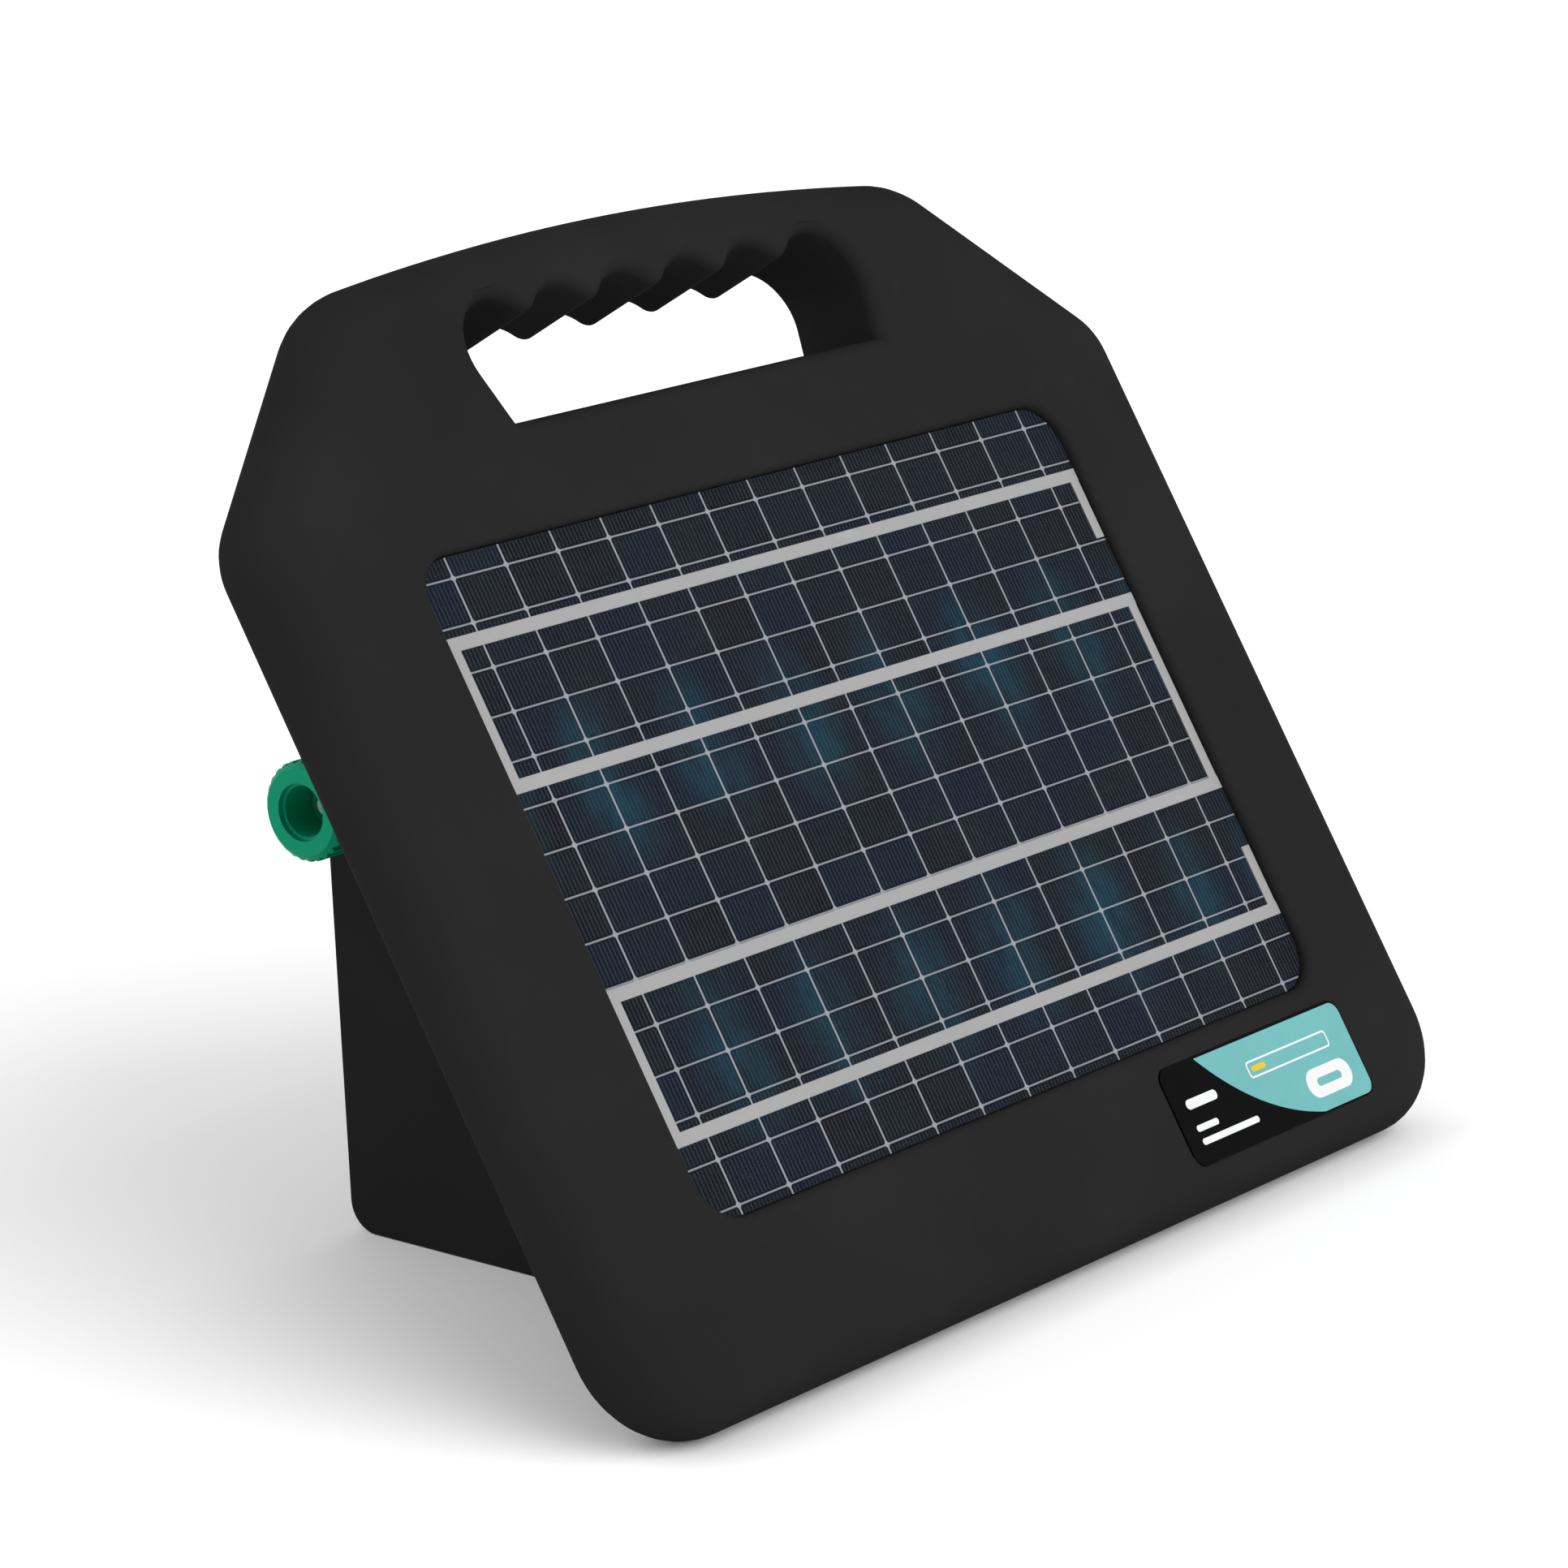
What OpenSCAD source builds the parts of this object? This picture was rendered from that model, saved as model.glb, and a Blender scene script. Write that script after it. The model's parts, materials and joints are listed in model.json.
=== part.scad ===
// Solar fence energizer: a tilted panel housing with a carrying handle, and a
// wedge-shaped rear case that holds the battery, the pulse circuit and the two
// fence terminals. Millimetres, +Z up. The origin is on the ground, at the
// middle of the overall box. Wherever a (x, v, n) position is named, v runs up
// the tilted housing from its bottom edge and n is outward from its front face.

/* [Panel housing] */
// Half of the housing's width
half_w = 167.4; // [150:0.1:180]
// Height along the tilted face, at the peak of the top edge
housing_h = 287; // [284:0.1:290]
// Thickness of the housing
housing_t = 27.8; // [26:0.1:32]
// Backward tilt of the face from vertical, in degrees
tilt = 31.7; // [28:0.1:35]
// Rounding of the front edge
front_round = 13; // [10:0.5:13.5]
// Rounding of the rear edge
rear_round = 14; // [11:0.5:14]
// Wall thickness of the housing
wall = 3; // [2.5:0.1:3.5]

/* [Solar panel] */
// Width of the window in the face
window_w = 253; // [240:1:256]
// Height of the window in the face
window_h = 168; // [160:1:170]
// Height of the window's middle up the face
window_v = 126.6; // [125:0.1:128]
// Corner radius of the window
window_r = 12; // [8:1:16]
// Depth from the face down to the panel's surface
panel_recess = 2.1; // [1.8:0.1:2.4]
// Width of the silver busbar ribbons
ribbon_w = 3.4; // [2:0.1:5]

/* [Handle] */
// Distance between the finger grooves
finger_pitch = 24.95; // [24:0.05:25.5]
// Height of the finger grooves' tops up the face
groove_top = 269.5; // [268:0.1:270]
// Depth of a finger groove
groove_depth = 5; // [4:0.1:6]
// Height of the handle hole's floor up the face
hole_floor = 238; // [236:0.5:240]

/* [Rear case] */
// Outer width of the rear case
case_w = 158; // [157:0.5:162]
// Wall thickness of the rear case
case_wall = 2.8; // [2.4:0.1:2.9]
// Depth from the housing's front bottom edge to the foot of the rear wall
case_depth = 176.8; // [175:0.1:182]
// Backward lean of the rear wall, in degrees
case_lean = 3.2; // [2:0.1:4]

/* [Terminals] */
// Depth of the terminal axis from the housing's front bottom edge
term_y = 165.6; // [163:0.1:167]
// Height of the terminal axis above the ground
term_z = 115.7; // [114:0.1:118]
// Outer diameter of a terminal knob
knob_d = 25; // [22:0.5:25]
// Distance from the middle of the case to a knob's outer face
knob_reach = 107.4; // [106:0.1:110]

/* [Battery] */
// Width of the battery
battery_w = 151; // [145:0.5:151]
// Depth of the battery
battery_d = 65; // [60:0.5:65]
// Height of the battery's case
battery_h = 94; // [90:0.5:94]

/* [Hidden] */
$fn = 48;
EPS = 0.01;
BIG = 400;

// Colours
BLACK = [0.09, 0.09, 0.095];
DARK = [0.16, 0.16, 0.17];
GREEN = [0.0, 0.5, 0.38];
RED = [0.72, 0.08, 0.07];
SILVER = [0.75, 0.75, 0.76];
BRASS = [0.78, 0.62, 0.3];
BOARD = [0.05, 0.3, 0.16];

// Placing of the tilted housing: its lowest rounded edge stands on the ground
SIN_T = sin(tilt);
COS_T = cos(tilt);
SLAB_Z = rear_round * (1 - COS_T) + (housing_t - rear_round) * SIN_T;
Y_FRONT = front_round * (SIN_T + COS_T - 1);

// Plan of the housing: corner radii, and the arc of its top edge
BOTTOM_R = 26;
SIDE_R = 20;
SHOULDER_R = 30;
SIDE_V = 219.8;
SHOULDER_X = 98.3;
TOP_ARC_R = 927.6;
TOP_PUCK_R = 20;
CAVITY_INSET = 8;
// Each corner: centre and radius
CORNERS = [for (s = [-1, 1]) each [
  [[s * (half_w - BOTTOM_R), BOTTOM_R], BOTTOM_R],
  [[s * (half_w - SIDE_R), SIDE_V], SIDE_R],
  [[s * SHOULDER_X, top_centre(SHOULDER_X)], SHOULDER_R]
]];

// Rear case: seal and flange, and the corners of the side profile
SEAL_T = 1;
FLANGE_T = 3;
FLANGE_X = 94;
FLANGE_V = [16, 212];
FLANGE_R = 10;
CASE_TOP_V = 197;
CASE_TOP_Z = 148;
FOOT_R = 8;
TOP_R = 12;
SEAL_N = -housing_t - SEAL_T;
FLANGE_N = SEAL_N - FLANGE_T;
CASE_IN_W = case_w - 2 * case_wall;
MOUTH_V = [26, 188];
BACK_OPENING = [140, 152];
BACK_OPENING_V = 106;
REAR_TOP_Y = rear_wall_y(CASE_TOP_Z);
// The rear wall's furthest point is just under its rounded top corner
Y_BACK = REAR_TOP_Y - 0.56;
Y_SHIFT = -(Y_FRONT + Y_BACK) / 2;

// Case screws: their places on the flange
SCREW_X = 86.5;
SCREW_POINTS = [for (s = [-1, 1], v = [34, 90, 146, 204.5]) [s * (v > 190 ? 45 : SCREW_X), v]];
INSERT_R = 3;
INSERT_L = 10;

// Panel stack, front to back
FILM_T = 0.6;
RIBBON_T = 0.2;
CELL_T = 0.3;
PANEL_BOARD_T = 2;
GLUE_T = 0.3;
PANEL_GAP = 0.3;
FILM_N = -panel_recess;
CELL_N = FILM_N - FILM_T;
PANEL_BOARD_N = CELL_N - CELL_T;
GLUE_N = PANEL_BOARD_N - PANEL_BOARD_T;
TRAY_N = GLUE_N - GLUE_T;
TRAY_FLOOR = 2.2;
LEDGE = 14;

// Ribbon layout: heights of the four long strips up the face, and the two stubs
STRIP_V = [189.6, 153.5, 100.3, 64.0];
STUB_V = [171.5, 82.1];
RIBBON_LEFT = -123.9;
RIBBON_RIGHT = 124.3;

// Label
LABEL_SIZE = [82, 26.5];
LABEL_MID = [86.45, 23.15];
LABEL_R = 3.75;
LABEL_T = 0.8;
LABEL_SINK = 0.6;

// Finger hole outline: groove and ridge arcs that touch each other
ARC_SUM = (pow(finger_pitch / 2, 2) + pow(groove_depth, 2)) / (2 * groove_depth);
GROOVE_R = 12.5;
RIDGE_R = ARC_SUM - GROOVE_R;
GROOVES = 6;
END_R = 14;
END_DRAFT = 17;

// Battery and electronics, as depth from the housing's front bottom edge
BATTERY_Y = 138.5;
PAD_T = 2;
BATTERY_Z = case_wall + PAD_T;
TAB_X = 60;
TAB_Y = 114;
TAB_H = 6.35;
TRAY_Z = 105.5;
TRAY_T = 2.5;
TRAY_Y = [97.5, 176];
BOARD_X = 55;
BOARD_Y = [99, 153];
BOARD_Z = 113;
BOARD_T = 1.6;
BOARD_TOP = BOARD_Z + BOARD_T;
BOARD_HOLES = [for (x = [-50, 50], y = [104, 148]) [x, y]];
FRONT_PILLARS = [for (x = [-60, 60]) [x, 101]];
REAR_LEDGES = [for (x = [-25, 25]) [x, 172.5]];
TRANSFORMER = [-27, 136];
CAP_R = 14;
CAP_L = 42;
CAP_POS = [6, 135];
PLUG_X = [-40, -20, 0, 20, 40];
PLUG_Z = BOARD_TOP + 4.4;
HANGER_X = 45;
HANGER_Z = 120;
HANGER_R = 4.5;
HANGER_SLOT = 2.3;
HANGER_RISE = 12;

// Terminal stack along its axis, as distance from the middle of the case
SIDE_X = case_w / 2;
BOLT_R = 3;
RING_X = SIDE_X - case_wall - 2;
COLLAR_T = 2;
NUT_T = 3.2;
NUT_X = SIDE_X + COLLAR_T;
CLAMP_X = NUT_X + NUT_T + 0.3;
CLAMP_T = 1.5;
KNOB_X = CLAMP_X + CLAMP_T + 0.2;
KNOB_WEB = 9.8;
BOLT_END = 99;
KNOB_BORE_R = 3.05;
SOCKET_R = 6.4;
RIM_R = 7.2;
RIM_T = 1.5;
KNOB_RIBS = 28;

// Switch, on the right side wall
SWITCH = [126, 122];
SWITCH_BODY = [12.8, 20.4];
SWITCH_POCKET = [10.6, 17.4];
SWITCH_BEZEL = [16, 24];
ROCKER_W = 9.8;
ROCKER_TILT = 9;
PIVOT_X = 76.5;

// Charging socket, on the right side wall
SOCKET = [90, 52];
SOCKET_PLATE = [18, 26];
LID_HINGE = [83.4, 11.2];
PIPE = [141, BOARD_TOP + 4];

// ---------- functions ----------

// Depth of the rear wall's outer face at height z
function rear_wall_y(z) = case_depth + z * tan(case_lean);

// A housing point (v, n) as (depth, height)
function side_point(v, n) = [v * SIN_T - n * COS_T, v * COS_T + n * SIN_T + SLAB_Z];

function unit(p) = p / norm(p);
function direction(a) = [cos(a), sin(a)];
function turn(a) = a > 180 ? a - 360 : a < -180 ? a + 360 : a;

// Points of the arc that rounds corner p, between the points a and b
function corner(a, p, b, r, steps) =
  r <= 0 ? [p] :
  let (
    u = unit(a - p),
    w = unit(b - p),
    half = acos(u * w) / 2,
    c = p + unit(u + w) * r / sin(half),
    s = p + u * r / tan(half) - c,
    e = p + w * r / tan(half) - c,
    a0 = atan2(s[1], s[0]),
    sweep = turn(atan2(e[1], e[0]) - a0)
  )
  [for (i = [0:steps]) c + r * [cos(a0 + sweep * i / steps), sin(a0 + sweep * i / steps)]];

// A polygon whose corners [x, y, r] are rounded
function rounded(points, steps = 8) =
  let (n = len(points), xy = [for (p = points) [p[0], p[1]]])
  [for (i = [0:n - 1]) each corner(xy[(i + n - 1) % n], xy[i], xy[(i + 1) % n], points[i][2], steps)];

function arc(c, r, a0, a1, steps) =
  [for (i = [0:steps]) c + r * [cos(a0 + (a1 - a0) * i / steps), sin(a0 + (a1 - a0) * i / steps)]];

// Height of a circle's centre whose top lies on the housing's top edge
function top_centre(x) = housing_h - TOP_ARC_R + sqrt(pow(TOP_ARC_R - SHOULDER_R, 2) - x * x);

// Outline of the finger hole, grown outward by g
function finger_hole(g) =
  let (
    groove_v = groove_top - GROOVE_R,
    ridge_v = groove_top - groove_depth + RIDGE_R,
    lean = atan2(ridge_v - groove_v, finger_pitch / 2),
    end_x = (GROOVES - 1) / 2 * finger_pitch,
    end_v = groove_top - END_R,
    side_n = [cos(END_DRAFT), -sin(END_DRAFT)],
    side_p = [end_x, end_v] + (END_R + g) * side_n,
    floor_v = hole_floor - g,
    foot_x = side_p[0] - (side_p[1] - floor_v) * tan(END_DRAFT)
  )
  concat(
    [[-foot_x, floor_v], [foot_x, floor_v]],
    arc([end_x, end_v], END_R + g, -END_DRAFT, 90, 10),
    [for (i = [0:GROOVES - 2])
      let (gx = end_x - i * finger_pitch, rx = gx - finger_pitch / 2, nx = gx - finger_pitch)
      each concat(
        arc([gx, groove_v], GROOVE_R + g, 90, 180 - lean, 5),
        arc([rx, ridge_v], RIDGE_R - g, -lean, -180 + lean, 6),
        arc([nx, groove_v], GROOVE_R + g, lean, 90, 5)
      )],
    arc([-end_x, end_v], END_R + g, 90, 180 + END_DRAFT, 10)
  );

// Points of a smooth curve from a to d, pulled towards b and c, with short straight ends
function curve(a, b, c, d, steps) =
  let (p = a + unit(b - a), q = d + unit(c - d))
  concat([a], [for (i = [0:steps]) let (t = i / steps, s = 1 - t)
    p * s * s * s + b * 3 * s * s * t + c * 3 * s * t * t + q * t * t * t], [d]);

function heading(points, i) = unit(points[min(i + 1, len(points) - 1)] - points[max(i - 1, 0)]);

// A direction across the curve, carried along it from point to point without twisting
function carried(points, u, i = 0) =
  i == len(points) ? [] :
  let (t = heading(points, i), across = unit(u - (u * t) * t))
  concat([across], carried(points, across, i + 1));

// ---------- placing ----------

// Depths from the housing's front bottom edge become the part's own Y
module place() {
  translate([0, Y_SHIFT, 0]) children();
}

// The tilted housing's own frame: x, v up the face, n outward
module on_slab() {
  place() translate([0, 0, SLAB_Z]) rotate([90 - tilt, 0, 0]) children();
}

// Right-hand side as drawn, or its mirror image on the left
module side(s) {
  if (s > 0) children();
  else mirror([1, 0, 0]) children();
}

// A terminal's axis: local z is the distance from the middle of the case
module terminal(s) {
  place() side(s) translate([0, term_y, term_z]) rotate([0, 90, 0]) children();
}

// A place on the right side wall: local z is the distance from the middle,
// local x is downward and local y is to the rear
module on_side(at) {
  place() translate([0, at[0], at[1]]) rotate([0, 90, 0]) children();
}

// ---------- shapes ----------

module ring(r_out, r_in, h) {
  difference() {
    cylinder(r = r_out, h = h);
    translate([0, 0, -1]) cylinder(r = r_in, h = h + 2);
  }
}

module plate(w, h, r, t) {
  linear_extrude(t) polygon(rounded([[-w / 2, -h / 2, r], [w / 2, -h / 2, r], [w / 2, h / 2, r], [-w / 2, h / 2, r]]));
}

module frame_plate(w, h, r, rim, t) {
  difference() {
    plate(w, h, r, t);
    translate([0, 0, -1]) plate(w - 2 * rim, h - 2 * rim, max(r - rim, 1), t + 2);
  }
}

// A disc of the housing's full thickness with both edges rounded
module puck(centre, r) {
  translate(centre) rotate_extrude($fn = 32) difference() {
    translate([0, -housing_t]) square([r, housing_t]);
    translate([r - front_round, -front_round]) difference() {
      square(front_round + 1);
      circle(r = front_round, $fn = 24);
    }
    translate([r - rear_round, rear_round - housing_t]) mirror([0, 1]) difference() {
      square(rear_round + 1);
      circle(r = rear_round, $fn = 24);
    }
  }
}

// Discs spaced along the arched top edge
function top_puck(a) = [0, housing_h - TOP_ARC_R] + (TOP_ARC_R - TOP_PUCK_R) * direction(90 + a);

// The housing's outside: a panel with rounded corners and a gently arched top
module slab_form() {
  hull() {
    for (c = CORNERS) puck(c[0], c[1]);
    for (a = [-3:3]) puck(top_puck(a), TOP_PUCK_R);
  }
}

// The space inside the housing, in plan
module cavity_plan() {
  hull() {
    for (c = CORNERS) translate(c[0]) circle(r = c[1] - CAVITY_INSET, $fn = 32);
    for (a = [-3:3]) translate(top_puck(a)) circle(r = TOP_PUCK_R - CAVITY_INSET, $fn = 32);
  }
}

// The bevelled lip around the window, as the shape to cut away
module lip_cut(w, h, r, lip) {
  for (sx = [-1, 1], sy = [-1, 1]) translate([sx * (w / 2 - r), sy * (h / 2 - r)])
    rotate_extrude() translate([r, 0]) lip_profile(lip);
  for (a = [0, 180]) rotate([0, 0, a]) {
    translate([w / 2, 0, 0]) rotate([90, 0, 0])
      linear_extrude(h - 2 * r, center = true) lip_profile(lip);
    translate([0, h / 2, 0]) rotate([90, 0, 90])
      linear_extrude(w - 2 * r, center = true) lip_profile(lip);
  }
}

// Its slope runs on past the window's wall, into the open
module lip_profile(lip) {
  polygon([[-3, -lip - 3], [lip + 1, 1], [-3, 1]]);
}

// A lead: a round tube of diameter d along a list of points
module lead(points, d) {
  sides = 8;
  n = len(points);
  t0 = heading(points, 0);
  across = carried(points, cross(t0, abs(t0[0]) > 0.7 ? [0, 0, 1] : [1, 0, 0]));
  rings = [for (i = [0:n - 1])
    let (u = across[i], w = cross(heading(points, i), u))
    for (k = [0:sides - 1]) points[i] + d / 2 * (u * cos(360 * k / sides) + w * sin(360 * k / sides))];
  walls = [for (i = [0:n - 2], k = [0:sides - 1])
    [i * sides + k, (i + 1) * sides + k, (i + 1) * sides + (k + 1) % sides, i * sides + (k + 1) % sides]];
  ends = [[for (k = [0:sides - 1]) k], [for (k = [sides - 1:-1:0]) (n - 1) * sides + k]];
  polyhedron(rings, concat(walls, ends));
}

// ---------- housing and panel ----------

module panel_housing() {
  color(BLACK) on_slab() difference() {
    union() {
      difference() {
        slab_form();
        translate([0, 0, wall - housing_t]) linear_extrude(housing_t - 2 * wall) cavity_plan();
      }
      translate([0, window_v, TRAY_N - TRAY_FLOOR])
        plate(window_w + 2 * wall, window_h + 2 * wall, window_r + wall, -TRAY_N + TRAY_FLOOR - 1);
      translate([0, 0, -housing_t + 1]) linear_extrude(housing_t - 2) polygon(finger_hole(wall));
      for (p = SCREW_POINTS)
        translate([p[0], p[1], -housing_t + 1]) cylinder(r = INSERT_R + 2, h = INSERT_L + 1);
    }
    translate([0, 0, -BIG / 2]) linear_extrude(BIG) polygon(finger_hole(0));
    translate([0, window_v, TRAY_N]) plate(window_w, window_h, window_r, BIG);
    translate([0, window_v, 0]) lip_cut(window_w, window_h, window_r, panel_recess);
    translate([0, window_v, -15]) plate(window_w - 2 * LEDGE, window_h - 2 * LEDGE, 6, 15);
    translate([0, BACK_OPENING_V, -BIG - housing_t + wall + 1])
      plate(BACK_OPENING[0], BACK_OPENING[1], 10, BIG);
    translate([LABEL_MID[0], LABEL_MID[1], -LABEL_SINK])
      plate(LABEL_SIZE[0] + 0.4, LABEL_SIZE[1] + 0.4, LABEL_R + 0.2, 5);
    for (p = SCREW_POINTS)
      translate([p[0], p[1], -housing_t - 1]) cylinder(r = INSERT_R, h = INSERT_L + 1);
  }
}

module panel_seal() {
  color(DARK) on_slab() translate([0, window_v, TRAY_N])
    frame_plate(window_w - 4, window_h - 4, window_r - 2, LEDGE - 4, GLUE_T);
}

module panel_layer(n, t) {
  translate([0, window_v, n])
    plate(window_w - 2 * PANEL_GAP, window_h - 2 * PANEL_GAP, window_r - PANEL_GAP, t);
}

module panel_board() {
  color([0.9, 0.9, 0.88]) on_slab() panel_layer(GLUE_N, PANEL_BOARD_T);
}

module solar_cells() {
  color([0.1, 0.14, 0.2]) on_slab() panel_layer(PANEL_BOARD_N, CELL_T);
}

module ribbon(x0, x1, v0, v1) {
  translate([x0, v0, CELL_N]) cube([x1 - x0, v1 - v0, RIBBON_T]);
}

// Four long strips joined in a zigzag, with a stub at each end
module ribbon_set() {
  h = ribbon_w / 2;
  edge = window_w / 2 - PANEL_GAP;
  for (v = STRIP_V) ribbon(-edge, edge, v - h, v + h);
  for (i = [0, 2]) ribbon(RIBBON_LEFT - h, RIBBON_LEFT + h, STRIP_V[i + 1], STRIP_V[i]);
  ribbon(RIBBON_RIGHT - h, RIBBON_RIGHT + h, STRIP_V[2], STRIP_V[1]);
  ribbon(RIBBON_RIGHT - h, RIBBON_RIGHT + h, STUB_V[0], STRIP_V[0]);
  ribbon(RIBBON_RIGHT - h, RIBBON_RIGHT + h, STRIP_V[3], STUB_V[1]);
}

module cell_ribbons() {
  color(SILVER) on_slab() intersection() {
    ribbon_set();
    panel_layer(CELL_N - 1, 4);
  }
}

module panel_film() {
  color([0.75, 0.85, 0.95, 0.35]) on_slab() difference() {
    panel_layer(CELL_N, FILM_T);
    ribbon_set();
  }
}

BOX_V = 92;
BOX_SIZE = [44, 32, 10];

module junction_box() {
  color(DARK) on_slab() translate([0, BOX_V, GLUE_N - BOX_SIZE[2]])
    plate(BOX_SIZE[0], BOX_SIZE[1], 3, BOX_SIZE[2]);
}

module panel_lead() {
  from = side_point(BOX_V + BOX_SIZE[1] / 2, GLUE_N - BOX_SIZE[2] / 2);
  start = [0, from[0], from[1]];
  up = [0, SIN_T, COS_T];
  end = [0, 100, PLUG_Z];
  color(DARK) place() lead(curve(start, start + 14 * up, end - [0, 14, 0], end, 14), 3);
}

module label_plate() {
  color([0.42, 0.71, 0.73]) on_slab() translate([LABEL_MID[0], LABEL_MID[1], -LABEL_SINK])
    plate(LABEL_SIZE[0], LABEL_SIZE[1], LABEL_R, LABEL_T);
}

// ---------- rear case ----------

// Side profile of the case, shrunk by t; its front edge lies on the plane n
function case_profile(t, n) =
  let (
    low = side_point(0, n),
    floor_y = low[0] + (t - low[1]) * SIN_T / COS_T,
    high = side_point(CASE_TOP_V, SEAL_N),
    fall = (high[1] - CASE_TOP_Z) / (REAR_TOP_Y - high[0]),
    roof_z = high[1] - t * sqrt(1 + fall * fall),
    // the front edge meets the roof line that falls to the rear
    meet = (roof_z + fall * high[0] - low[1] + low[0] * COS_T / SIN_T) / (COS_T / SIN_T + fall),
    back = case_depth - t / cos(case_lean),
    slope = tan(case_lean),
    rear_z = (roof_z + fall * (high[0] - back)) / (1 + fall * slope)
  )
  rounded([
    [floor_y, t, 0],
    [back + t * slope, t, max(FOOT_R - t, 1)],
    [back + rear_z * slope, rear_z, max(TOP_R - t, 1)],
    [meet, low[1] + (meet - low[0]) * COS_T / SIN_T, 0]
  ]);

module rear_case() {
  color(BLACK) difference() {
    union() {
      place() rotate([90, 0, 90]) linear_extrude(case_w, center = true) polygon(case_profile(0, SEAL_N));
      on_slab() flange();
    }
    difference() {
      place() rotate([90, 0, 90]) linear_extrude(CASE_IN_W, center = true)
        polygon(case_profile(case_wall, FLANGE_N));
      place() pillars();
      place() hanger_blocks();
    }
    on_slab() mouth_cut();
    place() pillar_bores();
    place() hanger_cuts();
    for (s = [-1, 1]) terminal(s) translate([0, 0, SIDE_X - 10]) cylinder(r = BOLT_R + 0.3, h = 20);
    on_side(SWITCH) translate([0, 0, SIDE_X - 10])
      plate(SWITCH_BODY[1] + 0.4, SWITCH_BODY[0] + 0.4, 0.5, 20);
    on_side(SOCKET) translate([0, 0, SIDE_X - 10]) cylinder(r = 5.8, h = 20);
    on_side(PIPE) translate([0, 0, SIDE_X - 10]) cylinder(r = 2.6, h = 20);
  }
}

// The flange that is screwed to the housing's back
module flange() {
  mid = (FLANGE_V[0] + FLANGE_V[1]) / 2;
  difference() {
    translate([0, mid, FLANGE_N]) plate(2 * FLANGE_X, FLANGE_V[1] - FLANGE_V[0], FLANGE_R, FLANGE_T);
    for (p = SCREW_POINTS)
      translate([p[0], p[1], FLANGE_N - 1]) cylinder(r = 2.2, h = FLANGE_T + 2);
  }
}

module mouth_cut() {
  mid = (MOUTH_V[0] + MOUTH_V[1]) / 2;
  translate([0, mid, FLANGE_N - EPS])
    plate(CASE_IN_W, MOUTH_V[1] - MOUTH_V[0], 6, FLANGE_T + 2);
}

module pillars() {
  for (p = FRONT_PILLARS) translate([p[0], p[1], 0]) cylinder(r = 4.5, h = TRAY_Z);
  for (p = REAR_LEDGES) translate([p[0] - 7, p[1] - 4.5, TRAY_Z - 5.5]) cube([14, 30, 5.5]);
}

module pillar_bores() {
  for (p = FRONT_PILLARS) translate([p[0], p[1], TRAY_Z - 12]) cylinder(r = 1.5, h = 13);
  for (p = REAR_LEDGES) translate([p[0], p[1], TRAY_Z - 6]) cylinder(r = 1.5, h = 7);
}

// Closed pockets behind the two keyholes in the rear wall
module hanger_blocks() {
  for (s = [-1, 1]) translate([s * HANGER_X - 9, 172, HANGER_Z - 8]) cube([18, 30, HANGER_RISE + 14]);
}

module hanger_cuts() {
  for (s = [-1, 1]) translate([s * HANGER_X, 0, HANGER_Z]) {
    translate([0, 174, 0]) rotate([-90, 0, 0]) cylinder(r = HANGER_R, h = 30);
    translate([0, 174, HANGER_RISE]) rotate([-90, 0, 0]) cylinder(r = HANGER_SLOT, h = 30);
    translate([-HANGER_SLOT, 174, 0]) cube([2 * HANGER_SLOT, 30, HANGER_RISE]);
    translate([-7, 174, -6]) cube([14, rear_wall_y(HANGER_Z) - 174 - case_wall, HANGER_RISE + 10]);
  }
}

module case_seal() {
  mid = (FLANGE_V[0] + FLANGE_V[1]) / 2;
  color(DARK) on_slab() difference() {
    translate([0, mid, SEAL_N]) plate(2 * FLANGE_X - 2, FLANGE_V[1] - FLANGE_V[0] - 2, FLANGE_R - 1, SEAL_T);
    translate([0, (MOUTH_V[0] + MOUTH_V[1]) / 2, SEAL_N - 1])
      plate(CASE_IN_W, MOUTH_V[1] - MOUTH_V[0], 6, SEAL_T + 2);
    for (p = SCREW_POINTS) translate([p[0], p[1], SEAL_N - 1]) cylinder(r = 2.2, h = SEAL_T + 2);
  }
}

module thread_inserts() {
  color(BRASS) on_slab() for (p = SCREW_POINTS)
    translate([p[0], p[1], -housing_t + 0.3]) ring(INSERT_R, 2.05, INSERT_L - 0.5);
}

module case_screws() {
  color(SILVER) on_slab() for (p = SCREW_POINTS) translate([p[0], p[1], 0])
    difference() {
      union() {
        translate([0, 0, FLANGE_N - 2.6]) cylinder(r = 3.6, h = 2.6);
        translate([0, 0, FLANGE_N - EPS]) cylinder(r = 2, h = 12.5);
      }
      translate([0, 0, FLANGE_N - 3]) cylinder(r = 1.6, h = 2, $fn = 6);
    }
}

// ---------- battery ----------

module battery() {
  lid_h = 8;
  color(DARK) place() translate([0, BATTERY_Y, BATTERY_Z]) {
    plate(battery_w - 1, battery_d - 1, 2, battery_h - lid_h + EPS);
    translate([0, 0, battery_h - lid_h]) plate(battery_w, battery_d, 2, lid_h);
  }
}

module battery_tabs() {
  color(SILVER) place() for (s = [-1, 1])
    translate([s * TAB_X - 0.4, TAB_Y - 3.2, BATTERY_Z + battery_h]) cube([0.8, 6.4, TAB_H]);
}

module battery_pad() {
  color([0.25, 0.25, 0.26]) place() translate([0, BATTERY_Y, case_wall])
    plate(battery_w - 6, battery_d - 6, 3, PAD_T);
}

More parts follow.
